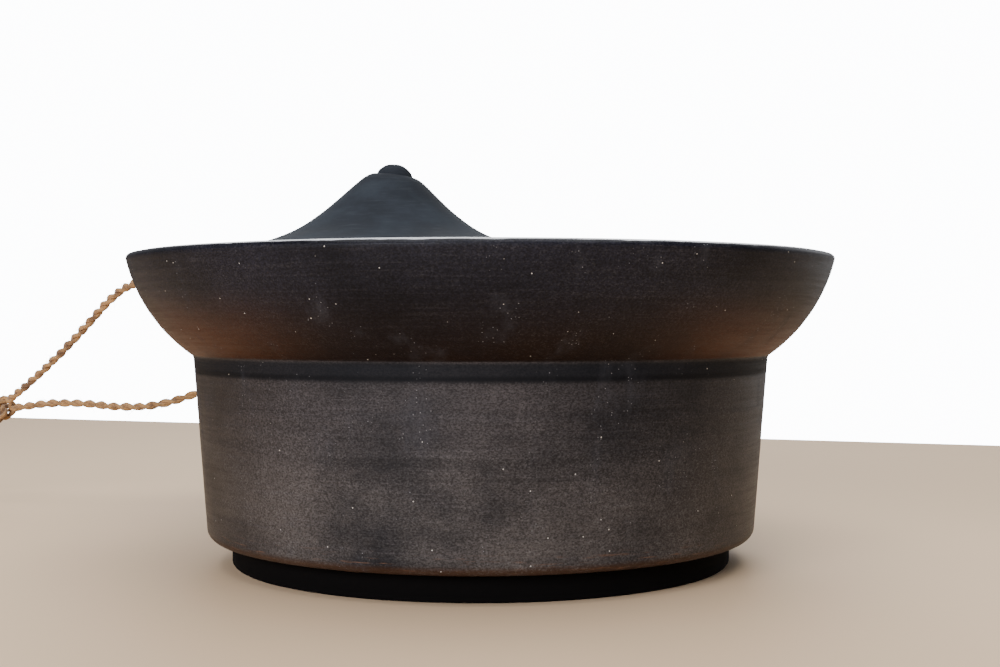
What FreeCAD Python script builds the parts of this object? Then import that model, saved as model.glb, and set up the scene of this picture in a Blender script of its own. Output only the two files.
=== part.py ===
"""Burnished black clay pot with a flared collar, a peaked lid and a hanging loop of twine.

Millimetres. The origin is the centre of the foot on the surface that the pot stands on, +Z is up,
and -Y is the side that is looked at from the front.
"""
import FreeCAD, Part
import math
import os
from FreeCAD import Vector

# Driving dimensions of the pot.
RIM_RADIUS = 85.0            # outside of the rim
RIM_HEIGHT = 73.7            # top of the rim's inner edge above the table
RIM_SLOPE = 0.25             # the rim's top falls this much towards its outer edge
JUNCTION_HEIGHT = 50.0       # sharp line where the collar springs from the body
JUNCTION_RADIUS = 70.0       # lower edge of the collar
COLLAR_BULGE = 2.5           # how far the collar's outline stands out from its chord
BODY_TOP_RADIUS = 69.5       # just under the collar
BODY_BOTTOM_RADIUS = 66.4
BODY_BOTTOM_HEIGHT = 6.3     # underside of the body, above the foot
BODY_CORNER = 2.6            # rounding of the body's lower edge
FOOT_RADIUS = 60.5           # recessed foot that the pot stands on
FOOT_CORNER = 0.8
WALL = 4.2
RIM_ROUND = 1.1              # rounding of the rim's outer edge
INNER_RIM_ROUND = 1.9
FLOOR_THICKNESS = 5.2
INNER_CORNER = 6.0           # rounding between the inside wall and the floor
HOLE_RADIUS = 2.0            # cord holes in the collar
HOLE_HEIGHT = 66.5

# Driving dimensions of the lid. It lies level on the rim, pushed back and to the left.
LID_RADIUS = 68.0
LID_CENTRE = Vector(-29.5, 68.5, 0.0)
LID_GAP = 0.3                # clearance over the rim, because the lid lifts off
BRIM_THICKNESS = 3.2
BRIM_ROUND = 1.0
LID_PEAK_HEIGHT = 26.9       # underside of the brim to the shoulder of the peak
PEAK_RADIUS = 7.0            # shoulder of the peak
PEAK_LEAN = 3.0              # the peak was pulled up off centre, towards +X
LID_HOLLOW_RADIUS = 25.0
LID_HOLLOW_HEIGHT = 20.0
LID_HOLLOW_TOP_RADIUS = 4.0
# Outline of the lid's top, as (radius, height above the underside of the brim).
LID_OUTLINE = [(40.0, 5.6), (28.3, 9.8), (19.5, 15.7), (11.3, 23.1)]

BUTTON_RADIUS = 5.3
BUTTON_RISE = 3.4            # pellet's top above the peak's shoulder
PEAK_TILT = 7.0              # degrees, the peak's top and the pellet on it slope towards +X

# Driving dimensions of the twine.
TWINE_DIAMETER = 2.4
LOOP_KNOT = Vector(-156.5, 106.5, 29.4)
LOOP_KNOT_RADIUS = 5.2
STOP_KNOT_RADIUS = 3.6
TAIL_KNOT = Vector(-221.0, 113.0, 3.3)
TAIL_KNOT_RADIUS = 3.3
LEFT_HOLE_ANGLE = 150.0      # degrees from +X, seen from above
BACK_HOLE_ANGLE = 112.0

UPPER_ROUTE = [
    (-65.6, 37.9, 66.5), (-78.6, 45.4, 66.6), (-91.5, 54.6, 68.9), (-103.2, 64.6, 69.3),
    (-112.5, 73.0, 63.9), (-122.6, 80.6, 54.6), (-134.8, 89.0, 44.6), (-146.0, 97.4, 36.6),
    (-152.6, 103.1, 32.6),
]
LOWER_ROUTE = [
    (-28.4, 70.3, 66.5), (-33.9, 83.9, 66.2), (-43.0, 95.6, 60.6), (-56.0, 101.4, 51.0),
    (-71.4, 99.6, 42.2), (-87.0, 94.2, 36.4), (-101.0, 92.6, 31.6), (-114.4, 95.6, 30.6),
    (-127.0, 98.6, 31.9), (-140.0, 100.8, 31.9), (-151.8, 104.6, 29.9),
]
TAIL_ROUTE = [
    (-160.2, 108.6, 26.8), (-167.0, 112.6, 20.2), (-173.6, 117.6, 11.0), (-183.0, 121.0, 4.2),
    (-195.0, 120.8, 1.3), (-207.0, 117.6, 1.3), (-218.2, 114.0, 2.4),
]


def flat(radius, height):
    """A point of an outline that is turned about the Z axis."""
    return Vector(radius, 0, height)


def bulge_point(start, end, bulge):
    """The middle of the arc that stands out from the chord by the bulge, on its right."""
    chord = end - start
    side = Vector(chord.z, 0, -chord.x).normalize()
    return (start + end) * 0.5 + side * bulge


def turned(edges):
    """A closed outline, turned once about the Z axis."""
    face = Part.Face(Part.Wire(edges))
    return face.revolve(Vector(0, 0, 0), Vector(0, 0, 1), 360)


def line(start, end):
    return Part.LineSegment(start, end).toShape()


def arc(start, middle, end):
    return Part.Arc(start, middle, end).toShape()


def corner_middle(centre, radius, degrees):
    """A point on a rounded corner, at an angle from outwards."""
    turn = math.radians(degrees)
    return centre + Vector(radius * math.cos(turn), 0, radius * math.sin(turn))


def pot_body():
    """Foot, floor, wall and flared collar: one piece of clay, with two cord holes."""
    foot_centre = flat(FOOT_RADIUS - FOOT_CORNER, FOOT_CORNER)
    corner_centre = flat(BODY_BOTTOM_RADIUS - BODY_CORNER, BODY_BOTTOM_HEIGHT + BODY_CORNER)
    collar_low = flat(JUNCTION_RADIUS, JUNCTION_HEIGHT)
    outer_height = RIM_HEIGHT - RIM_SLOPE
    inner_rim_radius = RIM_RADIUS - WALL
    collar_high = flat(RIM_RADIUS, outer_height - RIM_ROUND)
    lip = flat(RIM_RADIUS - RIM_ROUND, outer_height)
    lip_centre = flat(RIM_RADIUS - RIM_ROUND, outer_height - RIM_ROUND)
    inner_lip = flat(inner_rim_radius + INNER_RIM_ROUND, RIM_HEIGHT)
    inner_lip_centre = flat(inner_rim_radius + INNER_RIM_ROUND, RIM_HEIGHT - INNER_RIM_ROUND)
    inner_high = flat(inner_rim_radius, RIM_HEIGHT - INNER_RIM_ROUND)
    inner_low = flat(BODY_TOP_RADIUS - WALL, JUNCTION_HEIGHT + WALL / 2)
    floor_height = BODY_BOTTOM_HEIGHT + FLOOR_THICKNESS
    inner_foot_radius = BODY_BOTTOM_RADIUS - WALL
    inner_centre = flat(inner_foot_radius - INNER_CORNER, floor_height + INNER_CORNER)
    outline = [
        flat(0, 0),
        flat(FOOT_RADIUS - FOOT_CORNER, 0),
        flat(FOOT_RADIUS, FOOT_CORNER),
        flat(FOOT_RADIUS, BODY_BOTTOM_HEIGHT),
        flat(BODY_BOTTOM_RADIUS - BODY_CORNER, BODY_BOTTOM_HEIGHT),
        flat(BODY_BOTTOM_RADIUS, BODY_BOTTOM_HEIGHT + BODY_CORNER),
        flat(BODY_TOP_RADIUS, JUNCTION_HEIGHT - (JUNCTION_RADIUS - BODY_TOP_RADIUS)),
        collar_low, collar_high, lip, inner_lip, inner_high, inner_low,
        flat(inner_foot_radius, floor_height + INNER_CORNER),
        flat(inner_foot_radius - INNER_CORNER, floor_height),
        flat(0, floor_height),
    ]
    rounded = {
        1: corner_middle(foot_centre, FOOT_CORNER, -45),
        4: corner_middle(corner_centre, BODY_CORNER, -45),
        7: bulge_point(collar_low, collar_high, COLLAR_BULGE),
        8: corner_middle(lip_centre, RIM_ROUND, 45),
        10: corner_middle(inner_lip_centre, INNER_RIM_ROUND, 135),
        11: bulge_point(inner_high, inner_low, -COLLAR_BULGE),
        13: corner_middle(inner_centre, INNER_CORNER, -45),
    }
    edges = []
    for index, start in enumerate(outline):
        end = outline[(index + 1) % len(outline)]
        if index in rounded:
            edges.append(arc(start, rounded[index], end))
        else:
            edges.append(line(start, end))
    pot = turned(edges)
    for degrees in (LEFT_HOLE_ANGLE, BACK_HOLE_ANGLE):
        turn = math.radians(degrees)
        outwards = Vector(math.cos(turn), math.sin(turn), 0)
        start = outwards * (RIM_RADIUS - 4 * WALL) + Vector(0, 0, HOLE_HEIGHT)
        pot = pot.cut(Part.makeCylinder(HOLE_RADIUS, 6 * WALL, start, outwards))
    return pot


def ring(radius, height):
    """A circle round the lid. As the peak rises its centre moves towards +X, and it tilts that way."""
    rise = height / LID_PEAK_HEIGHT
    centre = LID_CENTRE + Vector(PEAK_LEAN * rise, 0, RIM_HEIGHT + LID_GAP + height)
    tilt = math.radians(PEAK_TILT * rise ** 3)
    return Part.Wire(Part.Circle(centre, Vector(math.sin(tilt), 0, math.cos(tilt)), radius).toShape())


def lid():
    """Broad brim with a concave, slightly skewed hollow peak."""
    base = LID_CENTRE + Vector(0, 0, RIM_HEIGHT + LID_GAP)
    brim = Part.makeCylinder(LID_RADIUS, BRIM_THICKNESS, base)
    brim = brim.makeFillet(BRIM_ROUND, [edge for edge in brim.Edges if edge.Closed])
    outline = [(LID_RADIUS - 2 * BRIM_ROUND, BRIM_THICKNESS - 0.2)]
    outline += LID_OUTLINE
    outline += [(PEAK_RADIUS, LID_PEAK_HEIGHT)]
    peak = Part.makeLoft([ring(radius, height) for radius, height in outline], True, False)
    hollow = Part.makeLoft([
        ring(LID_HOLLOW_RADIUS, -1.0), ring(LID_HOLLOW_RADIUS, 2.0),
        ring((LID_HOLLOW_RADIUS + LID_HOLLOW_TOP_RADIUS) * 0.48, LID_HOLLOW_HEIGHT * 0.5),
        ring(LID_HOLLOW_TOP_RADIUS, LID_HOLLOW_HEIGHT),
    ], True, False)
    return brim.fuse(peak).cut(hollow).removeSplitter()


def lid_button():
    """Flattened clay pellet pressed on top of the peak."""
    top = LID_CENTRE + Vector(PEAK_LEAN, 0, RIM_HEIGHT + LID_GAP + LID_PEAK_HEIGHT)
    pellet = Part.makeSphere(BUTTON_RADIUS)
    squash = FreeCAD.Matrix()
    squash.scale(1, 1, BUTTON_RISE / BUTTON_RADIUS)
    pellet = pellet.transformGeometry(squash)
    pellet.rotate(Vector(0, 0, 0), Vector(0, 1, 0), PEAK_TILT)
    pellet.translate(top)
    return pellet


def tube(points, name):
    """Cord along straight runs that are joined by tangent arcs; prints its radii and volume."""
    points = [Vector(*point) for point in points]
    edges = []
    last = points[0]
    radii = []
    for before, point, after in zip(points, points[1:], points[2:]):
        inwards = (point - before).normalize()
        outwards = (after - point).normalize()
        shorter = min((point - before).Length, (after - point).Length)
        half_turn = inwards.getAngle(outwards) / 2
        reach = 0.45 * shorter
        radius = reach / math.tan(half_turn)
        radii.append(round(radius, 1))
        arc_start = point - inwards * reach
        arc_end = point + outwards * reach
        inward_bisector = (outwards - inwards).normalize()
        middle = point + inward_bisector * (radius / math.cos(half_turn) - radius)
        edges.append(line(last, arc_start))
        edges.append(arc(arc_start, middle, arc_end))
        last = arc_end
    edges.append(line(last, points[-1]))
    path = Part.Wire(edges)
    start_circle = Part.Circle(points[0], points[1] - points[0], TWINE_DIAMETER / 2)
    solid = path.makePipeShell([Part.Wire(start_circle.toShape())], True, False)
    section = math.pi * TWINE_DIAMETER ** 2 / 4
    share = solid.Volume / (section * path.Length)
    print(name, "length", round(path.Length, 1), "volume share", round(share, 4), "radii", radii)
    return solid


def knot(centre, radius, strands):
    """Closed outer shape of a knot, cut where its strands enter it."""
    ball = Part.makeSphere(radius, centre)
    for strand in strands:
        ball = ball.cut(strand)
    return ball


def stop_knot_centre(degrees):
    """Inside the collar, a hair clear of its wall."""
    turn = math.radians(degrees)
    reach = RIM_RADIUS - WALL - STOP_KNOT_RADIUS - 3.0
    return Vector(reach * math.cos(turn), reach * math.sin(turn), HOLE_HEIGHT)


upper = tube(UPPER_ROUTE, "twine_upper")
lower = tube(LOWER_ROUTE, "twine_lower")
tail = tube(TAIL_ROUTE, "twine_tail")

pieces = {
    "pot_body": pot_body(),
    "lid": lid(),
    "lid_button": lid_button(),
    "twine_upper": upper,
    "twine_lower": lower,
    "twine_tail": tail,
    "loop_knot": knot(LOOP_KNOT, LOOP_KNOT_RADIUS, [upper, lower, tail]),
    "stop_knot_left": knot(stop_knot_centre(LEFT_HOLE_ANGLE), STOP_KNOT_RADIUS, [upper]),
    "stop_knot_back": knot(stop_knot_centre(BACK_HOLE_ANGLE), STOP_KNOT_RADIUS, [lower]),
    "tail_knot": knot(TAIL_KNOT, TAIL_KNOT_RADIUS, [tail]),
}
pieces["lid_button"] = pieces["lid_button"].cut(pieces["lid"])

os.makedirs("parts", exist_ok=True)
for name, shape in pieces.items():
    shape.exportStep("parts/" + name + ".step")
    box = shape.optimalBoundingBox()
    print(name, "valid", shape.isValid(), "solids", len(shape.Solids), "volume", round(shape.Volume),
          "z", round(box.ZMin, 2), round(box.ZMax, 2))
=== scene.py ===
"""Looks of the burnished black clay pot, its loose lid and its loop of jute twine.

Metres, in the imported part's frame: origin under the middle of the foot, +Z up, the front is -Y.
"""
import math
import random
from types import SimpleNamespace

import bmesh
import bpy
from mathutils import Matrix, Vector, noise


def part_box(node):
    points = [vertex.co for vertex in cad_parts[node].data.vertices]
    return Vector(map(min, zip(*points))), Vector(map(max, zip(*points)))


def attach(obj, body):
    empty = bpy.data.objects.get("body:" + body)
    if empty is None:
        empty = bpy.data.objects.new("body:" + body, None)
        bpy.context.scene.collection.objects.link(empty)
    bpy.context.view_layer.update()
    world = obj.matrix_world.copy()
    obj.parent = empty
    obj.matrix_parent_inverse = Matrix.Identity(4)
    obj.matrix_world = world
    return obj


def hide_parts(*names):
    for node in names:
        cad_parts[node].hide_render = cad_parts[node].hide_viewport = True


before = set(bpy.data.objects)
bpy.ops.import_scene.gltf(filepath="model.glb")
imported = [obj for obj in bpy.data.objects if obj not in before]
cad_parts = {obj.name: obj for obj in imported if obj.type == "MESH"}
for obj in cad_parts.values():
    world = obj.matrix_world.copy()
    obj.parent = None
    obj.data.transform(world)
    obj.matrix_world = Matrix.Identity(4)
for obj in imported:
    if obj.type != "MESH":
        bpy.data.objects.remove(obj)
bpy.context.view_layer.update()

MM = 0.001
UP = Vector((0, 0, 1))

# Sizes that the frame gives.
POT_LOW, POT_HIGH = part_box("pot_body")
LID_LOW, LID_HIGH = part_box("lid")
BUTTON_LOW, BUTTON_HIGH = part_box("lid_button")
RIM_RADIUS = (POT_HIGH.x - POT_LOW.x) / 2
RIM_HEIGHT = POT_HIGH.z
LID_CENTRE = Vector(((LID_HIGH.x + LID_LOW.x) / 2, (LID_HIGH.y + LID_LOW.y) / 2, LID_LOW.z))

# The pot's outline, in the same proportions as the part's.
JUNCTION_HEIGHT = 50.0 * MM
JUNCTION_RADIUS = 70.0 * MM
BODY_TOP_RADIUS = 69.5 * MM
BODY_BOTTOM_RADIUS = 66.4 * MM
BODY_BOTTOM_HEIGHT = 6.3 * MM
FOOT_RADIUS = 60.5 * MM
FOOT_CORNER = 0.8 * MM
BODY_CORNER = 2.6 * MM       # rounding of the body's lower edge
INNER_CORNER = 6.0 * MM      # rounding between the inside wall and the floor
COLLAR_BULGE = 2.5 * MM
RIM_SLOPE = 0.25 * MM        # the rim's top falls towards its outer edge
RIM_ROUND = 1.1 * MM
INNER_RIM_ROUND = 1.9 * MM
QUARTER_BULGE = 0.293        # how far a quarter circle stands out from its chord, per radius
WALL = 4.2 * MM
FLOOR_HEIGHT = 11.5 * MM
HOLE_HEIGHT = 66.5 * MM
HOLE_RADIUS = 2.0 * MM
HOLE_ANGLES = (150.0, 112.0)   # degrees from +X, seen from above
TURNING_DEPTH = 0.16 * MM      # the turning rings and nicks go no deeper than this

# The lid's peak, pulled up a little off centre towards +X.
PEAK_HEIGHT = 26.9 * MM
PEAK_LEAN = 3.0 * MM
PEAK_TILT = 7.0                # degrees, the peak's top and its button slope towards +X

# The twine: the control points of each route, and its build.
TWINE_DIAMETER = 2.4 * MM
UPPER_ROUTE = [
    (-65.6, 37.9, 66.5), (-78.6, 45.4, 66.6), (-91.5, 54.6, 68.9), (-103.2, 64.6, 69.3),
    (-112.5, 73.0, 63.9), (-122.6, 80.6, 54.6), (-134.8, 89.0, 44.6), (-146.0, 97.4, 36.6),
    (-152.6, 103.1, 32.6),
]
LOWER_ROUTE = [
    (-28.4, 70.3, 66.5), (-33.9, 83.9, 66.2), (-43.0, 95.6, 60.6), (-56.0, 101.4, 51.0),
    (-71.4, 99.6, 42.2), (-87.0, 94.2, 36.4), (-101.0, 92.6, 31.6), (-114.4, 95.6, 30.6),
    (-127.0, 98.6, 31.9), (-140.0, 100.8, 31.9), (-151.8, 104.6, 29.9),
]
TAIL_ROUTE = [
    (-160.2, 108.6, 26.8), (-167.0, 112.6, 20.2), (-173.6, 117.6, 11.0), (-183.0, 121.0, 4.2),
    (-195.0, 120.8, 1.3), (-207.0, 117.6, 1.3), (-218.2, 114.0, 2.4),
]
PLY_PITCH = 8.5 * MM         # one full turn of the two plies round each other
YARN_PITCH = 7.0 * MM        # one full turn of the yarns inside a ply, the other way
YARNS_PER_PLY = 6
TWINE_STEP = 0.7 * MM        # between the points that the yarns are drawn through
HAIR_LENGTH = (0.8 * MM, 3.2 * MM)
HAIR_RADIUS = (0.035 * MM, 0.06 * MM)
HAIR_POINTS = 5


def make_camera():
    """A studio camera close in front of the pot, just below rim height, tipped half a degree down."""
    data = bpy.data.cameras.new("camera")
    data.sensor_width = 36.0
    data.lens = 50.9
    data.clip_start = 0.01
    data.clip_end = 50.0
    camera = bpy.data.objects.new("camera", data)
    bpy.context.scene.collection.objects.link(camera)
    camera.location = (4.6 * MM, -349.0 * MM, 57.9 * MM)
    camera.rotation_euler = (math.radians(90.0 - 0.51), 0, 0)
    bpy.context.scene.camera = camera


# ---------------------------------------------------------------- node helpers

def linear(hex_colour):
    """An sRGB hex colour as linear RGBA."""
    channels = [int(hex_colour[i:i + 2], 16) / 255 for i in (1, 3, 5)]
    turned = [c / 12.92 if c <= 0.04045 else ((c + 0.055) / 1.055) ** 2.4 for c in channels]
    return (*turned, 1.0)


def add_node(tree, kind, settings=None, values=None, links=None):
    """Adds a node, with its settings, its sockets' values and the sockets linked into it."""
    node = tree.nodes.new(kind)
    for name, value in (settings or {}).items():
        setattr(node, name, value)
    for socket, value in (values or {}).items():
        node.inputs[socket].default_value = value
    for socket, source in (links or {}).items():
        tree.links.new(source, node.inputs[socket])
    return node


def new_material(name):
    """An empty node material with its shader and output joined."""
    material = bpy.data.materials.new(name)
    material.use_nodes = True
    tree = material.node_tree
    tree.nodes.clear()
    shader = add_node(tree, "ShaderNodeBsdfPrincipled")
    add_node(tree, "ShaderNodeOutputMaterial", links={"Surface": shader.outputs["BSDF"]})
    return material, tree, shader


def stretched_noise(tree, place, stretch, scale, detail=4.0, roughness=0.55):
    """Noise on Object coordinates, stretched by a scale for each axis; returns its value."""
    mapped = add_node(tree, "ShaderNodeMapping", values={"Scale": stretch}, links={"Vector": place})
    pattern = add_node(
        tree, "ShaderNodeTexNoise",
        values={"Scale": scale, "Detail": detail, "Roughness": roughness},
        links={"Vector": mapped.outputs["Vector"]},
    )
    return pattern.outputs["Fac"]


def ramp(tree, value, low, high, low_to=0.0, high_to=1.0):
    """Maps a value from one range to another, clamped."""
    node = add_node(
        tree, "ShaderNodeMapRange", {"clamp": True, "interpolation_type": "SMOOTHSTEP"},
        {"From Min": low, "From Max": high, "To Min": low_to, "To Max": high_to},
        {"Value": value},
    )
    return node.outputs["Result"]


def combine(tree, kind, first, second=0.0):
    """A Math node of two values, each a link or a number; ABSOLUTE uses only the first."""
    node = add_node(tree, "ShaderNodeMath", {"operation": kind})
    for index, value in enumerate((first, second)):
        if isinstance(value, (int, float)):
            node.inputs[index].default_value = value
        else:
            tree.links.new(value, node.inputs[index])
    return node.outputs["Value"]


def product(tree, first, *others):
    """Several values multiplied together, each a link or a number."""
    for other in others:
        first = combine(tree, "MULTIPLY", first, other)
    return first


def total(tree, first, *others):
    """Several values added together, each a link or a number."""
    for other in others:
        first = combine(tree, "ADD", first, other)
    return first


def rest_of(tree, share):
    """What a share leaves over: one minus the share."""
    return combine(tree, "SUBTRACT", 1.0, share)


def tint(tree, base, colour, amount, mode="MIX"):
    """Mixes a colour over a base colour by an amount; each may be a link or a value."""
    node = add_node(tree, "ShaderNodeMix", {"data_type": "RGBA", "blend_type": mode})
    for index, value in ((0, amount), (6, base), (7, colour)):
        if isinstance(value, (int, float, tuple)):
            node.inputs[index].default_value = value
        else:
            tree.links.new(value, node.inputs[index])
    return node.outputs[2]


# ---------------------------------------------------------------- materials

def random_dots(tree, place, spacing, size, share):
    """Scattered dots of one size; share is how many of the cells hold one."""
    cells = add_node(
        tree, "ShaderNodeTexVoronoi", {"feature": "F1"},
        {"Scale": 1 / spacing, "Randomness": 1.0}, {"Vector": place},
    )
    chance = add_node(tree, "ShaderNodeSeparateColor", links={"Color": cells.outputs["Color"]})
    chosen = combine(tree, "GREATER_THAN", chance.outputs["Red"], 1 - share)
    reach = size / 2 / spacing
    dot = ramp(tree, cells.outputs["Distance"], reach, reach * 0.5)
    return product(tree, dot, chosen)


def clay_patterns(tree):
    """Places on the pot, and the patterns that its clay's colour, gloss and relief are made from."""
    place = add_node(tree, "ShaderNodeTexCoord").outputs["Object"]
    split = add_node(tree, "ShaderNodeSeparateXYZ", links={"Vector": place})
    x, y, height = (split.outputs[axis] for axis in "XYZ")
    level = add_node(tree, "ShaderNodeCombineXYZ", links={"X": x, "Y": y})
    radius = add_node(tree, "ShaderNodeVectorMath", {"operation": "LENGTH"},
                      links={"Vector": level.outputs["Vector"]})
    # Grain of the clay, 0.3 mm, each grain a little lighter or darker than the next.
    cells = add_node(tree, "ShaderNodeTexVoronoi", {"feature": "F1"},
                     {"Scale": 1 / (0.3 * MM), "Randomness": 1.0}, {"Vector": place})
    grain = add_node(tree, "ShaderNodeSeparateColor", links={"Color": cells.outputs["Color"]})
    # The band just under the collar, which takes painted shade.
    band_top = ramp(tree, height, 49.9 * MM, 49.0 * MM)
    band_bottom = ramp(tree, height, 45.2 * MM, 46.2 * MM)
    return SimpleNamespace(
        place=place, x=x, y=y, height=height, radius=radius.outputs["Value"],
        on_collar=ramp(tree, height, 49.6 * MM, 50.2 * MM),
        rim_top=ramp(tree, height, 72.3 * MM, 73.0 * MM),
        band_bottom=band_bottom,
        under_collar=product(tree, band_top, band_bottom),
        # Level burnishing lines: 0.5 mm apart, 15 to 40 mm long.
        fine_lines=stretched_noise(tree, place, (1, 1, 34), 60.0, 6.0, 0.68),
        # Streaks of gloss: 1 mm high, 20 to 30 mm long.
        streaks=stretched_noise(tree, place, (1, 1, 28), 34.0, 5.0, 0.65),
        # Broader turning bands: 3.5 mm apart, 80 mm long.
        bands=stretched_noise(tree, place, (1, 1, 24), 12.0, 3.0, 0.5),
        # Cloudy fire marks, 20 to 40 mm across.
        clouds=stretched_noise(tree, place, (1, 1, 1.3), 30.0, 5.0, 0.6),
        # Dusty smudges, 8 mm wide and 24 mm high.
        smudges=stretched_noise(tree, place, (1, 1, 0.35), 120.0, 5.0, 0.6),
        # Sandy grit, 0.5 mm.
        grit=stretched_noise(tree, place, (1, 1, 1.6), 1900.0, 2.0, 0.7),
        grain=grain.outputs["Red"],
    )


def fired_and_shaded_colour(tree, clay):
    """The clay as smoked and burnished: cloudy, lined and sandy, with painted shade on the body's
    right.
    """
    # Charcoal blue on the collar, a warmer grey on the body, palest low down.
    dark = tint(tree, linear("#15161a"), linear("#0a0b11"), clay.on_collar)
    low_down = ramp(tree, clay.height, 42 * MM, 10 * MM)
    paler_low_down = tint(tree, linear("#393637"), linear("#4c4744"), low_down)
    # Inside, the clay keeps a plain dark colour, without the paler tone low down.
    outside = combine(tree, "MAXIMUM", ramp(tree, clay.radius, 65.5 * MM, 66.3 * MM),
                      ramp(tree, clay.height, 11.3 * MM, 10.6 * MM))
    light = tint(tree, linear("#1b1b1d"), paler_low_down, outside)
    light = tint(tree, light, linear("#1c1c24"), clay.on_collar)
    colour = tint(tree, dark, light, ramp(tree, clay.clouds, 0.22, 0.7))
    line_share = product(tree, ramp(tree, clay.fine_lines, 0.5, 0.8, 0.0, 0.6),
                         ramp(tree, clay.on_collar, 0.0, 1.0, 1.0, 0.4))
    colour = tint(tree, colour, linear("#464244"), line_share)
    colour = tint(tree, colour, linear("#060709"), ramp(tree, clay.bands, 0.5, 0.32, 0.0, 0.25))
    # The body is browner on its left side; its right side is painted cooler and darker, as painted
    # shade.
    on_body = rest_of(tree, clay.on_collar)
    left_side = product(tree, ramp(tree, clay.x, -34 * MM, -62 * MM, 0.0, 0.5), on_body)
    colour = tint(tree, colour, linear("#1c1614"), left_side)
    right_painted_shade = product(tree, ramp(tree, clay.x, 2 * MM, 30 * MM, 0.0, 0.3), on_body)
    colour = tint(tree, colour, linear("#14161c"), right_painted_shade)
    # Each bit of grit is lighter or darker than the clay round it.
    return tint(tree, colour, ramp(tree, clay.grit, 0.36, 0.64, 0.62, 1.45), 1.0, "MULTIPLY")


def worn_and_painted_light_colour(tree, clay, colour):
    """Adds the lower collar's painted floor reflection, the worn lower edge and the painted shade band
    under the collar.
    """
    # Painted reflection of the warm floor: the lower collar is painted brown, most at the pot's two
    # sides.
    floor_reflection = product(tree, ramp(tree, clay.height, 66 * MM, 50 * MM), clay.on_collar,
                    ramp(tree, clay.clouds, 0.3, 0.65, 0.5, 1.0))
    sideways = combine(tree, "ABSOLUTE", clay.x)
    brown = tint(tree, linear("#1c110b"), linear("#4c250b"), ramp(tree, sideways, 25 * MM, 74 * MM))
    colour = tint(tree, colour, brown, floor_reflection)
    # The lower edge is painted brown, partly as wear and partly as painted reflection of the warm
    # floor, with pale worn scratches, 9 mm long and 0.6 mm high, along it.
    edge = ramp(tree, clay.height, 8.8 * MM, 7.2 * MM)
    colour = tint(tree, colour, linear("#3a2415"), product(tree, edge, 0.8))
    wear = stretched_noise(tree, clay.place, (1, 1, 14), 110.0, 5.0, 0.7)
    scratches = product(tree, ramp(tree, clay.height, 12 * MM, 8.5 * MM), ramp(tree, wear, 0.56, 0.7))
    colour = tint(tree, colour, linear("#6a4c3a"), product(tree, scratches, 0.8))
    # Painted shade of the collar's overhang: a blue-black band just under the collar, with a darker
    # line at its foot for the shadow's edge.
    colour = tint(tree, colour, linear("#0c1016"), product(tree, clay.under_collar, 0.8))
    shadow_edge_line = product(tree, clay.band_bottom, ramp(tree, clay.height, 47.2 * MM, 46.4 * MM))
    return tint(tree, colour, linear("#04060b"), product(tree, shadow_edge_line, 0.7))


def dust_and_glints_colour(tree, clay, colour, dusty):
    """Adds the dust in the smudges, painted glints on the grain and the pale specks."""
    colour = tint(tree, colour, linear("#3f4046"), product(tree, dusty, 0.35))
    # Painted glints: pale grains over the clouds where the sheen falls, most low down at the front.
    cloudy = product(tree, ramp(tree, clay.clouds, 0.3, 0.66, 0.3, 1.0),
                     rest_of(tree, clay.under_collar))
    sheen_low_front = product(tree, ramp(tree, clay.height, 52 * MM, 20 * MM, 0.3, 1.0),
                        ramp(tree, clay.y, -10 * MM, -55 * MM))
    painted_glints = product(tree, ramp(tree, clay.grain, 0.62, 1.0), cloudy,
                      ramp(tree, clay.fine_lines, 0.38, 0.6, 0.4, 1.0), sheen_low_front, 0.22)
    colour = tint(tree, colour, linear("#85817f"), painted_glints)
    # Dust caught in clusters, in dots of 0.26 mm.
    dots = random_dots(tree, clay.place, 0.7 * MM, 0.26 * MM, 0.4)
    clusters = ramp(tree, clay.smudges, 0.52, 0.62)
    colour = tint(tree, colour, linear("#8b8a8c"), product(tree, dots, clusters, 0.8))
    # Pale specks of quartz, 0.34 mm across, in one in seven of the 1.8 mm cells.
    specks = random_dots(tree, clay.place, 1.8 * MM, 0.34 * MM, 0.14)
    return tint(tree, colour, linear("#d8d3cb"), product(tree, specks, 0.9))


def clay_roughness(tree, clay, dusty):
    """Burnished most along the rim's top, least in the band under the collar and under dust."""
    rough = total(
        tree, ramp(tree, clay.streaks, 0.36, 0.68, 0.46, 0.52),
        ramp(tree, clay.fine_lines, 0.4, 0.75, -0.02, 0.05),
        product(tree, dusty, 0.12), product(tree, clay.under_collar, 0.18),
    )
    return combine(tree, "SUBTRACT", rough, product(tree, clay.rim_top, 0.27))


def clay_relief(tree, clay):
    """The lines, grain and streaks stand out by up to a tenth of a millimetre; the rim is smooth."""
    relief = total(tree, clay.fine_lines, product(tree, clay.grain, 0.35),
                   product(tree, clay.streaks, 0.3))
    relief = product(tree, relief, rest_of(tree, clay.rim_top))
    bump = add_node(tree, "ShaderNodeBump", values={"Strength": 0.4, "Distance": 0.12 * MM},
                    links={"Height": relief})
    return bump.outputs["Normal"]


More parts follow.
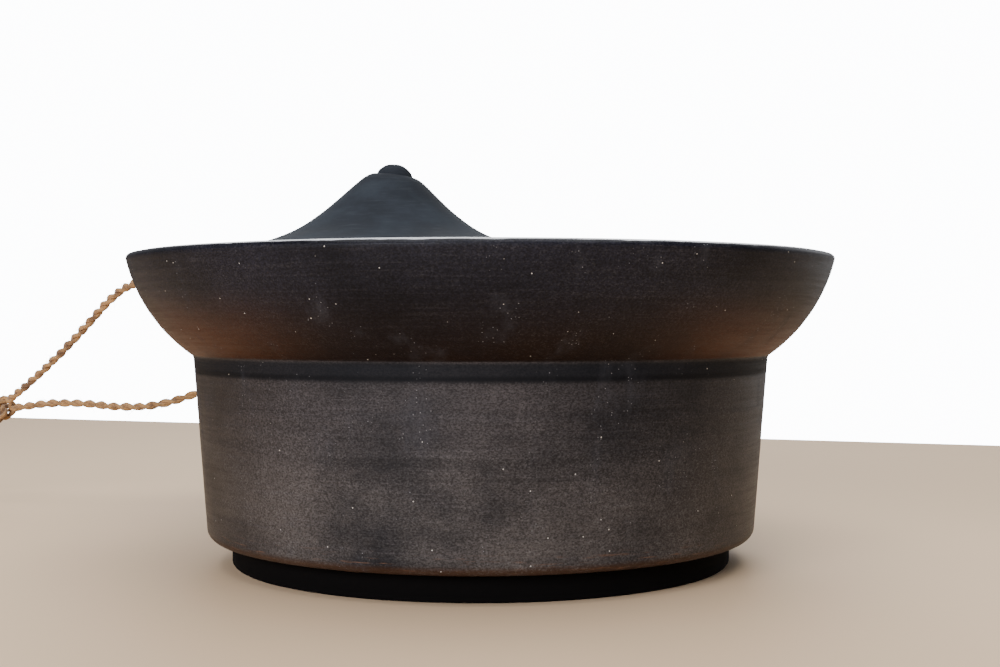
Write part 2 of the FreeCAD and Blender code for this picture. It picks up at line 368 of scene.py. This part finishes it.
def clay_material():
    """Smoke-fired clay, turned, then burnished with a stone: black, with a soft graphite sheen.

    Burnishing leaves fine level lines and streaks of gloss. The lower collar is painted brown, most at
    the pot's two sides, as painted reflection of the warm floor, and the worn lower edge is browned
    partly by wear and partly by that painted reflection. Painted shade darkens the band under the
    collar and the body's right side. The sandy clay gives a fine grain, with painted glints and pale
    specks of quartz, and handling leaves dusty smudges.
    """
    material, tree, shader = new_material("burnished_black_clay")
    clay = clay_patterns(tree)
    dusty = ramp(tree, clay.smudges, 0.54, 0.78)
    colour = worn_and_painted_light_colour(tree, clay, fired_and_shaded_colour(tree, clay))
    colour = dust_and_glints_colour(tree, clay, colour, dusty)
    tree.links.new(colour, shader.inputs["Base Color"])
    tree.links.new(clay_roughness(tree, clay, dusty), shader.inputs["Roughness"])
    tree.links.new(clay_relief(tree, clay), shader.inputs["Normal"])
    # Burnished, unglazed clay reflects much less than a glaze does.
    shader.inputs["IOR"].default_value = 1.3
    shader.inputs["Specular IOR Level"].default_value = 0.3
    return material


def foot_material():
    """Painted shade: the foot and the underside are dull, near-black clay, standing for the shadow
    under the pot.
    """
    material, tree, shader = new_material("foot_painted_shade")
    shader.inputs["Base Color"].default_value = linear("#060505")
    shader.inputs["Roughness"].default_value = 0.95
    shader.inputs["Specular IOR Level"].default_value = 0.1
    return material


def dull_clay_material():
    """The same smoke-fired clay, less burnished: the lid is slate black and nearly matt."""
    material, tree, shader = new_material("slate_black_clay")
    place = add_node(tree, "ShaderNodeTexCoord").outputs["Object"]
    # Smoke clouds 17 mm across, turning lines 8 mm long and 0.6 mm high, and a grain of 0.4 mm.
    clouds = stretched_noise(tree, place, (1, 1, 1.6), 60.0, 5.0, 0.6)
    lines = stretched_noise(tree, place, (1, 1, 12), 130.0, 5.0, 0.6)
    grain = stretched_noise(tree, place, (1, 1, 1), 2400.0, 3.0, 0.6)
    colour = tint(tree, linear("#282b30"), linear("#353a40"), ramp(tree, clouds, 0.3, 0.75))
    colour = tint(tree, colour, linear("#42464c"), ramp(tree, lines, 0.5, 0.8, 0.0, 0.35))
    tree.links.new(colour, shader.inputs["Base Color"])
    tree.links.new(ramp(tree, clouds, 0.3, 0.7, 0.74, 0.86), shader.inputs["Roughness"])
    shader.inputs["IOR"].default_value = 1.3
    shader.inputs["Specular IOR Level"].default_value = 0.12
    relief = total(tree, lines, product(tree, grain, 0.5))
    bump = add_node(tree, "ShaderNodeBump", values={"Strength": 0.4, "Distance": 0.12 * MM},
                    links={"Height": relief})
    tree.links.new(bump.outputs["Normal"], shader.inputs["Normal"])
    return material


def jute_material():
    """Two-ply jute twine: dry, brown and fibrous, darker in the grooves between its yarns."""
    material, tree, shader = new_material("jute_twine")
    place = add_node(tree, "ShaderNodeTexCoord").outputs["Object"]
    # Colour changes along the twine every 3 to 6 mm, and fibre by fibre every 0.2 mm.
    lengths = stretched_noise(tree, place, (1, 1, 1), 260.0, 3.0, 0.6)
    fibres = stretched_noise(tree, place, (1, 1, 1), 3200.0, 3.0, 0.7)
    colour = tint(tree, linear("#6f4d2b"), linear("#b98c55"), ramp(tree, lengths, 0.32, 0.62))
    colour = tint(tree, colour, linear("#452c17"), ramp(tree, fibres, 0.55, 0.3, 0.0, 0.6))
    colour = tint(tree, colour, linear("#d9b583"), ramp(tree, fibres, 0.62, 0.8, 0.0, 0.7))
    tree.links.new(colour, shader.inputs["Base Color"])
    shader.inputs["Roughness"].default_value = 0.85
    shader.inputs["Sheen Weight"].default_value = 0.25
    shader.inputs["Sheen Roughness"].default_value = 0.6
    bump = add_node(tree, "ShaderNodeBump", values={"Strength": 0.5, "Distance": 0.1 * MM},
                    links={"Height": fibres})
    tree.links.new(bump.outputs["Normal"], shader.inputs["Normal"])
    return material


def floor_material():
    """Pale, warm, matt studio floor."""
    material, tree, shader = new_material("studio_floor")
    shader.inputs["Base Color"].default_value = linear("#e0c19c")
    shader.inputs["Roughness"].default_value = 0.75
    return material


# ---------------------------------------------------------------- clay pieces

def arc_points(start, end, bulge, count):
    """Points of a circular arc from start to end, standing out on the right by the bulge."""
    chord = end - start
    half = chord.length / 2
    radius = (half ** 2 + bulge ** 2) / (2 * abs(bulge))
    side = Vector((chord.y, -chord.x)).normalized() * math.copysign(1, bulge)
    centre = (start + end) / 2 - side * (radius - abs(bulge))
    first = start - centre
    sweep = 2 * math.asin(min(1.0, half / radius)) * math.copysign(1, bulge)
    return [centre + Matrix.Rotation(sweep * i / count, 2) @ first for i in range(count + 1)]


def pot_outline():
    """Foot, body, collar, rim and inside, as (radius, height) from the bottom's middle."""
    def at(radius, height):
        return Vector((radius, height))

    outer_height = RIM_HEIGHT - RIM_SLOPE
    inner_foot = BODY_BOTTOM_RADIUS - WALL
    foot_edge = at(FOOT_RADIUS - FOOT_CORNER, 0)
    outline = [at(0, 0), at(FOOT_RADIUS * 0.5, 0), foot_edge]
    outline += arc_points(foot_edge, at(FOOT_RADIUS, FOOT_CORNER), 0.23 * MM, 4)[1:]
    outline += [at(FOOT_RADIUS, BODY_BOTTOM_HEIGHT - 0.6 * MM),
                at(FOOT_RADIUS + 0.6 * MM, BODY_BOTTOM_HEIGHT)]
    corner_start = at(BODY_BOTTOM_RADIUS - BODY_CORNER, BODY_BOTTOM_HEIGHT)
    corner_end = at(BODY_BOTTOM_RADIUS, BODY_BOTTOM_HEIGHT + BODY_CORNER)
    outline += arc_points(corner_start, corner_end, BODY_CORNER * QUARTER_BULGE, 8)
    body_top = at(BODY_TOP_RADIUS, JUNCTION_HEIGHT - 0.9 * MM)
    wall_steps = 60
    outline += [corner_end.lerp(body_top, i / wall_steps) for i in range(1, wall_steps + 1)]
    collar_low = at(JUNCTION_RADIUS - 0.25 * MM, JUNCTION_HEIGHT - 0.25 * MM)
    collar_high = at(RIM_RADIUS, outer_height - RIM_ROUND)
    lip = at(RIM_RADIUS - RIM_ROUND, outer_height)
    outline += arc_points(collar_low, collar_high, COLLAR_BULGE, 40)
    outline += arc_points(collar_high, lip, RIM_ROUND * QUARTER_BULGE, 6)[1:]
    inner_rim = RIM_RADIUS - WALL
    inner_lip = at(inner_rim + INNER_RIM_ROUND, RIM_HEIGHT)
    inner_high = at(inner_rim, RIM_HEIGHT - INNER_RIM_ROUND)
    outline += arc_points(inner_lip, inner_high, INNER_RIM_ROUND * QUARTER_BULGE, 7)
    inner_low = at(BODY_TOP_RADIUS - WALL, JUNCTION_HEIGHT + WALL / 2)
    outline += arc_points(inner_high, inner_low, -COLLAR_BULGE, 24)[1:]
    wall_end = at(inner_foot, FLOOR_HEIGHT + INNER_CORNER)
    inner_steps = 16
    outline += [inner_low.lerp(wall_end, i / inner_steps) for i in range(1, inner_steps + 1)]
    floor_edge = at(inner_foot - INNER_CORNER, FLOOR_HEIGHT)
    outline += arc_points(wall_end, floor_edge, -INNER_CORNER * QUARTER_BULGE, 8)[1:]
    outline += [at(inner_foot * 0.6, FLOOR_HEIGHT), at(inner_foot * 0.3, FLOOR_HEIGHT),
                at(0, FLOOR_HEIGHT)]
    return outline


def spun(outline, steps, centre):
    """A bmesh of an outline, turned once about an upright axis through a centre."""
    mesh = bmesh.new()
    points = [mesh.verts.new(centre + Vector((p.x, 0, p.y))) for p in outline]
    edges = [mesh.edges.new(pair) for pair in zip(points, points[1:])]
    bmesh.ops.spin(
        mesh, geom=points + edges, cent=centre, axis=UP, angle=math.tau,
        steps=steps, use_merge=True,
    )
    bmesh.ops.remove_doubles(mesh, verts=mesh.verts, dist=0.004 * MM)
    bmesh.ops.recalc_face_normals(mesh, faces=mesh.faces)
    return mesh


def finished(mesh, name, material, node, body, sharp_degrees=32.0):
    """Turns a bmesh into a piece that stands for a CAD node and rides on a body."""
    for face in mesh.faces:
        face.smooth = True
    for edge in mesh.edges:
        if len(edge.link_faces) == 2:
            edge.smooth = edge.calc_face_angle() < math.radians(sharp_degrees)
    data = bpy.data.meshes.new(name)
    mesh.to_mesh(data)
    mesh.free()
    piece = bpy.data.objects.new(name, data)
    bpy.context.scene.collection.objects.link(piece)
    data.materials.append(material)
    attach(piece, body)
    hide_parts(node)
    return piece


def hand_turned(mesh, depth):
    """Presses turning rings and the maker's unevenness into a turned wall, and nicks its rim.

    The rings are 2.6 mm apart and the hand's pressure changes every 24 mm.
    """
    for vert in mesh.verts:
        outwards = Vector((vert.co.x, vert.co.y, 0))
        if outwards.length < 20 * MM:
            continue
        rings = noise.noise(Vector((0, 0, vert.co.z / (2.6 * MM))))
        hand = noise.noise(vert.co / (24 * MM))
        press = depth * (0.5 + 0.3 * rings + 0.4 * hand)
        vert.co -= outwards.normalized() * max(0.0, min(press, depth))
        if vert.co.z > RIM_HEIGHT - 1.2 * MM and outwards.length > RIM_RADIUS - 2 * MM:
            nick = noise.noise(vert.co / (1.6 * MM)) + noise.noise(vert.co / (7 * MM))
            vert.co.z -= depth * max(0.0, min(nick, 1.0))


def cut_cord_holes(piece):
    """Drills the two cord holes through the back left of the collar."""
    cutter_mesh = bmesh.new()
    for degrees in HOLE_ANGLES:
        turn = math.radians(degrees)
        place = (Matrix.Rotation(turn, 4, "Z")
                 @ Matrix.Translation((RIM_RADIUS - 4 * MM, 0, HOLE_HEIGHT))
                 @ Matrix.Rotation(math.pi / 2, 4, "Y"))
        bmesh.ops.create_cone(
            cutter_mesh, cap_ends=True, segments=32, radius1=HOLE_RADIUS, radius2=HOLE_RADIUS,
            depth=24 * MM, matrix=place,
        )
    cutter_data = bpy.data.meshes.new("hole_cutter")
    cutter_mesh.to_mesh(cutter_data)
    cutter_mesh.free()
    cutter = bpy.data.objects.new("hole_cutter", cutter_data)
    bpy.context.scene.collection.objects.link(cutter)
    drill = piece.modifiers.new("cord_holes", "BOOLEAN")
    drill.object = cutter
    drill.operation = "DIFFERENCE"
    drill.solver = "EXACT"
    graph = bpy.context.evaluated_depsgraph_get()
    drilled = bpy.data.meshes.new_from_object(piece.evaluated_get(graph))
    piece.modifiers.clear()
    piece.data = drilled
    bpy.data.objects.remove(cutter)


def make_pot(material, foot):
    """The turned pot; the foot and the body's underside take the foot's near-black painted shade
    material.
    """
    mesh = spun(pot_outline(), 320, Vector((0, 0, 0)))
    hand_turned(mesh, TURNING_DEPTH)
    for face in mesh.faces:
        middle = face.calc_center_median()
        face.material_index = 1 if middle.z < BODY_BOTTOM_HEIGHT + 0.1 * MM else 0
    pot = finished(mesh, "burnished_pot", material, "pot_body", "pot")
    pot.data.materials.append(foot)
    cut_cord_holes(pot)


def lid_outline():
    """Underside, brim edge and concave peak of the lid, as (radius, height) from its base."""
    def at(radius, height):
        return Vector((radius * MM, height * MM))

    hollow = [at(0.0, 20.0), at(2.6, 19.9), at(4.4, 18.8), at(7.5, 15.4), at(11.6, 11.0),
              at(16.0, 6.8), at(20.6, 3.2), at(23.6, 1.2), at(25.6, 0.3), at(27.0, 0.0)]
    brim_under = [at(40.0, 0.0), at(54.0, 0.0), at(66.4, 0.0)]
    edge = [at(67.3, 0.4), at(67.9, 1.1), at(68.0, 1.8), at(67.6, 2.5), at(66.7, 3.0)]
    top = [at(62.0, 3.2), at(50.0, 4.0), at(40.0, 5.6), at(28.3, 9.8), at(19.5, 15.7),
           at(10.4, 23.9), at(8.6, 25.4), at(7.3, 26.2), at(6.0, 26.6), at(3.0, 26.6),
           at(0.0, 26.6)]
    return hollow + brim_under + edge + top


def smooth_line(points, per_span):
    """A Catmull-Rom line through an outline's points."""
    out = []
    for i in range(len(points) - 1):
        before = points[max(i - 1, 0)]
        a, b = points[i], points[i + 1]
        after = points[min(i + 2, len(points) - 1)]
        for k in range(per_span):
            t = k / per_span
            out.append(0.5 * ((2 * a) + (b - before) * t + (2 * before - 5 * a + 4 * b - after) * t ** 2
                              + (3 * a - before - 3 * b + after) * t ** 3))
    out.append(points[-1])
    return [Vector((max(0.0, p.x), p.y)) for p in out]


def make_lid(material):
    """The turned lid: each ring of its peak moves and tilts towards +X as it rises."""
    mesh = spun(smooth_line(lid_outline(), 6), 256, LID_CENTRE)
    for vert in mesh.verts:
        rise = max(0.0, (vert.co.z - LID_CENTRE.z) / PEAK_HEIGHT)
        tilt = math.radians(PEAK_TILT) * rise ** 3
        vert.co.z -= (vert.co.x - LID_CENTRE.x) * math.tan(tilt)
        vert.co.x += PEAK_LEAN * rise
        press = 0.25 * MM * (0.5 + 0.5 * noise.noise(vert.co / (16 * MM)))
        outwards = Vector((vert.co.x - LID_CENTRE.x, vert.co.y - LID_CENTRE.y, 0))
        if outwards.length > 5 * MM:
            vert.co -= outwards.normalized() * press * min(1.0, outwards.length / (20 * MM))
    finished(mesh, "slate_lid", material, "lid", "lid", 50.0)


def make_button(material):
    """A flattened, slightly lumpy pellet of clay, tilted with the peak's top."""
    centre = Vector(((BUTTON_LOW.x + BUTTON_HIGH.x) / 2, (BUTTON_LOW.y + BUTTON_HIGH.y) / 2,
                     BUTTON_LOW.z))
    radius = (BUTTON_HIGH.x - BUTTON_LOW.x) / 2
    rise = BUTTON_HIGH.z - BUTTON_LOW.z
    mesh = bmesh.new()
    bmesh.ops.create_uvsphere(mesh, u_segments=64, v_segments=40, radius=1.0)
    for vert in mesh.verts:
        lump = 1 + 0.05 * noise.noise(vert.co * 1.7 + Vector((3, 1, 7)))
        vert.co = Vector((vert.co.x * radius, vert.co.y * radius, vert.co.z * rise * 0.93)) * lump
    tilt = Matrix.Rotation(math.radians(PEAK_TILT), 3, "Y")
    bmesh.ops.rotate(mesh, verts=mesh.verts, cent=(0, 0, 0), matrix=tilt)
    bmesh.ops.translate(mesh, verts=mesh.verts, vec=centre)
    finished(mesh, "button_knob", material, "lid_button", "lid", 60.0)


# ---------------------------------------------------------------- twine

def route_line(name, route):
    """The evaluated points of the route's NURBS spline, evenly spaced."""
    curve = bpy.data.curves.new(name, "CURVE")
    curve.dimensions = "3D"
    curve.resolution_u = 24
    spline = curve.splines.new("NURBS")
    spline.points.add(len(route) - 1)
    for point, place in zip(spline.points, route):
        point.co = (*[value * MM for value in place], 1.0)
    spline.order_u = 3
    spline.use_endpoint_u = True
    guide = bpy.data.objects.new(name, curve)
    bpy.context.scene.collection.objects.link(guide)
    graph = bpy.context.evaluated_depsgraph_get()
    data = bpy.data.meshes.new_from_object(guide.evaluated_get(graph))
    points = [vert.co.copy() for vert in data.vertices]
    bpy.data.objects.remove(guide)
    bpy.data.meshes.remove(data)
    return evenly(points, TWINE_STEP)


def evenly(points, step):
    """The same line with its points one step apart."""
    out = [points[0]]
    need = step
    for a, b in zip(points, points[1:]):
        length = (b - a).length
        while need <= length:
            out.append(a.lerp(b, need / length))
            need += step
        need -= length
    out.append(points[-1])
    return out


def travelling_frames(line):
    """Two directions across the line at each point, carried along without twisting."""
    frames = []
    side = None
    for i, point in enumerate(line):
        along = (line[min(i + 1, len(line) - 1)] - line[max(i - 1, 0)]).normalized()
        if side is None:
            side = along.orthogonal().normalized()
        side = (side - along * side.dot(along)).normalized()
        frames.append((point, side, along.cross(side)))
    return frames


def add_strand(curve, points, radii):
    """One fibre or yarn: a poly spline with its own radius at each point."""
    spline = curve.splines.new("POLY")
    spline.points.add(len(points) - 1)
    for point, place, radius in zip(spline.points, points, radii):
        point.co = (*place, 1.0)
        point.radius = radius


def add_yarns(curve, line, radius, dice):
    """The twine's two plies, each of several yarns, wound round the line; no two are even."""
    frames = travelling_frames(line)
    ply_radius = radius * 0.54
    yarn_radius = ply_radius * 0.56
    for ply in range(2):
        for yarn in range(YARNS_PER_PLY):
            points = []
            radii = []
            phase = math.tau * yarn / YARNS_PER_PLY + dice.uniform(-0.2, 0.2)
            for i, (point, side, other) in enumerate(frames):
                travelled = i * TWINE_STEP
                turn = math.tau * travelled / PLY_PITCH + math.pi * ply
                out = side * math.cos(turn) + other * math.sin(turn)
                across = other * math.cos(turn) - side * math.sin(turn)
                inner = phase - math.tau * travelled / YARN_PITCH
                loose = noise.noise(point / (5 * MM) + Vector((yarn, ply, 0)))
                reach = ply_radius * (0.55 + 0.12 * loose)
                points.append(point + out * ply_radius
                              + (out * math.cos(inner) + across * math.sin(inner)) * reach)
                slub = noise.noise(point / (3 * MM) + Vector((ply, yarn, 9)))
                radii.append(yarn_radius * (1 + 0.22 * slub))
            add_strand(curve, points, [r / TWINE_DIAMETER for r in radii])


def add_hairs(curve, line, radius, dice, spacing):
    """Loose fibre ends that stand off the twine."""
    frames = travelling_frames(line)
    count = int(len(line) * TWINE_STEP / spacing)
    for _ in range(count):
        i = dice.randrange(2, len(frames) - 2)
        point, side, other = frames[i]
        turn = dice.uniform(0, math.tau)
        out = side * math.cos(turn) + other * math.sin(turn)
        along = out.cross(side * -math.sin(turn) + other * math.cos(turn))
        if dice.random() < 0.5:
            along = -along
        length = dice.uniform(*HAIR_LENGTH)
        rise = dice.uniform(0.15, 0.8)
        bend = dice.uniform(-0.6, 0.6)
        steps = [k / (HAIR_POINTS - 1) for k in range(HAIR_POINTS)]
        points = []
        for t in steps:
            away = min(radius * 0.7 + length * rise * t ** 1.3, HAIR_LENGTH[1])
            curl = out.cross(along) * bend * length * t * t
            place = point + out * away + along * length * t + curl
            place.z = max(place.z, 0.15 * MM)
            points.append(place)
        thick = dice.uniform(*HAIR_RADIUS) / TWINE_DIAMETER
        add_strand(curve, points, [thick * (1.1 - 0.8 * t) for t in steps])


def twine_piece(name, line, material, seed, hair_spacing, radius=TWINE_DIAMETER / 2):
    """A mesh of twine along a line: two plies of yarns, with loose fibres."""
    dice = random.Random(seed)
    curve = bpy.data.curves.new(name, "CURVE")
    curve.dimensions = "3D"
    curve.bevel_depth = TWINE_DIAMETER
    curve.bevel_resolution = 1
    curve.use_fill_caps = True
    add_yarns(curve, line, radius, dice)
    add_hairs(curve, line, radius, dice, hair_spacing)
    source = bpy.data.objects.new(name + "_curve", curve)
    bpy.context.scene.collection.objects.link(source)
    graph = bpy.context.evaluated_depsgraph_get()
    data = bpy.data.meshes.new_from_object(source.evaluated_get(graph))
    bpy.data.objects.remove(source)
    data.name = name
    data.materials.clear()
    data.materials.append(material)
    for polygon in data.polygons:
        polygon.use_smooth = True
    piece = bpy.data.objects.new(name, data)
    bpy.context.scene.collection.objects.link(piece)
    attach(piece, "pot")
    return piece


def knot_line(centre, size, tilt):
    """The path of a small round knot: a trefoil, drawn as tight as the twine allows."""
    points = []
    tip, spin = (math.radians(degrees) for degrees in tilt)
    turn = Matrix.Rotation(tip, 3, "X") @ Matrix.Rotation(spin, 3, "Z")
    knot_steps = 180
    for i in range(knot_steps + 1):
        t = math.tau * i / knot_steps
        wide = 2.0 + math.cos(3 * t)
        place = Vector((wide * math.cos(2 * t), wide * math.sin(2 * t), 1.15 * math.sin(3 * t)))
        points.append(centre + turn @ place * size / 3.0)
    return evenly(points, TWINE_STEP)


def make_knot(name, node, material, seed, tilt):
    """A knot of twine that fills its node's ball."""
    low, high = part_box(node)
    centre = (low + high) / 2
    radius = (high.z - low.z) / 2
    thick = min(TWINE_DIAMETER / 2, radius * 0.3)
    line = knot_line(centre, radius - thick * 1.05, tilt)
    piece = twine_piece(name, line, material, seed, 1.2 * MM, thick)
    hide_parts(node)
    return piece


def make_twine(material):
    """The loop's two strands, its tail, and the knots on them."""
    loop_knot = make_knot("loop_knot_twine", "loop_knot", material, 11, (60, 20))
    stop_left = make_knot("stop_knot_left_twine", "stop_knot_left", material, 12, (80, 50))
    stop_back = make_knot("stop_knot_back_twine", "stop_knot_back", material, 13, (85, 10))
    tail_end = make_knot("tail_knot_twine", "tail_knot", material, 14, (15, 70))
    # Each strand's name, node, route, length in millimetres, knots and seed.
    strands = [
        ("twine_strand_upper", "twine_upper", UPPER_ROUTE, 119.0, [loop_knot, stop_left], 21),
        ("twine_strand_lower", "twine_lower", LOWER_ROUTE, 149.3, [stop_back], 22),
        ("twine_strand_tail", "twine_tail", TAIL_ROUTE, 70.9, [tail_end], 23),
    ]
    for name, node, route, length, knots, seed in strands:
        line = route_line(name, route)
        piece = twine_piece(name, line, material, seed, 0.55 * MM)
        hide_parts(node)


# ---------------------------------------------------------------- stage

def make_stage():
    """A pale floor, 4.8 by 3 m, turned a little and ending 0.37 m behind the pot."""
    mesh = bmesh.new()
    bmesh.ops.create_grid(mesh, x_segments=1, y_segments=1, size=1.0)
    bmesh.ops.scale(mesh, verts=mesh.verts, vec=(2.4, 1.5, 1))
    bmesh.ops.translate(mesh, verts=mesh.verts, vec=(0, -1.13, 0))
    turn = Matrix.Rotation(math.radians(-20), 3, "Z")
    bmesh.ops.rotate(mesh, verts=mesh.verts, cent=(0, 0, 0), matrix=turn)
    data = bpy.data.meshes.new("floor")
    mesh.to_mesh(data)
    mesh.free()
    floor = bpy.data.objects.new("floor", data)
    bpy.context.scene.collection.objects.link(floor)
    data.materials.append(floor_material())


def area_light(name, place, target, size, power, colour):
    """A rectangular light that points at a target; size in metres, power in watts."""
    data = bpy.data.lights.new(name, "AREA")
    data.shape = "RECTANGLE"
    data.size, data.size_y = size
    data.energy = power
    data.color = linear(colour)[:3]
    light = bpy.data.objects.new(name, data)
    bpy.context.scene.collection.objects.link(light)
    light.location = place
    light.rotation_euler = (Vector(target) - Vector(place)).to_track_quat("-Z", "Y").to_euler()


def make_lights():
    """A white wall behind, brighter above the rim and at the right, and a dim room in front.

    A window at the front left and a broad light overhead do the rest.
    """
    world = bpy.data.worlds.new("studio")
    world.use_nodes = True
    tree = world.node_tree
    tree.nodes.clear()
    direction = add_node(tree, "ShaderNodeTexCoord").outputs["Generated"]
    way = add_node(tree, "ShaderNodeSeparateXYZ", links={"Vector": direction})
    behind = ramp(tree, way.outputs["Y"], 0.1, 0.9, 0.06, 0.3)
    above = ramp(tree, way.outputs["Z"], 0.14, 0.3, 0.0, 5.0)
    off_centre = combine(tree, "ABSOLUTE", way.outputs["X"])
    above = product(tree, above, ramp(tree, way.outputs["Y"], 0.3, 0.8),
                    ramp(tree, off_centre, 0.36, 0.2))
    right = product(tree, ramp(tree, way.outputs["X"], 0.28, 0.6, 0.0, 1.0),
                    ramp(tree, way.outputs["Y"], 0.2, 0.7))
    strength = total(tree, behind, right, above)
    path = add_node(tree, "ShaderNodeLightPath")
    lit = add_node(tree, "ShaderNodeBackground", values={"Color": linear("#f4f6fa")},
                   links={"Strength": strength})
    # The wall itself is seen as plain white.
    seen = add_node(tree, "ShaderNodeBackground",
                    values={"Color": linear("#f9fbff"), "Strength": 14.0})
    both = add_node(tree, "ShaderNodeMixShader", links={
        0: path.outputs["Is Camera Ray"], 1: lit.outputs["Background"], 2: seen.outputs["Background"],
    })
    add_node(tree, "ShaderNodeOutputWorld", links={"Surface": both.outputs["Shader"]})
    bpy.context.scene.world = world
    area_light("window", (-0.48, -1.06, 0.42), (0, 0, 0.03), (0.8, 0.4), 17.5, "#f3f5ff")
    area_light("ceiling", (0.0, -0.3, 1.2), (0, -0.35, 0.0), (1.2, 1.2), 14.0, "#ffffff")


make_camera()
clay = clay_material()
slate = dull_clay_material()
jute = jute_material()
make_twine(jute)
make_pot(clay, foot_material())
make_lid(slate)
make_button(slate)
make_stage()
make_lights()
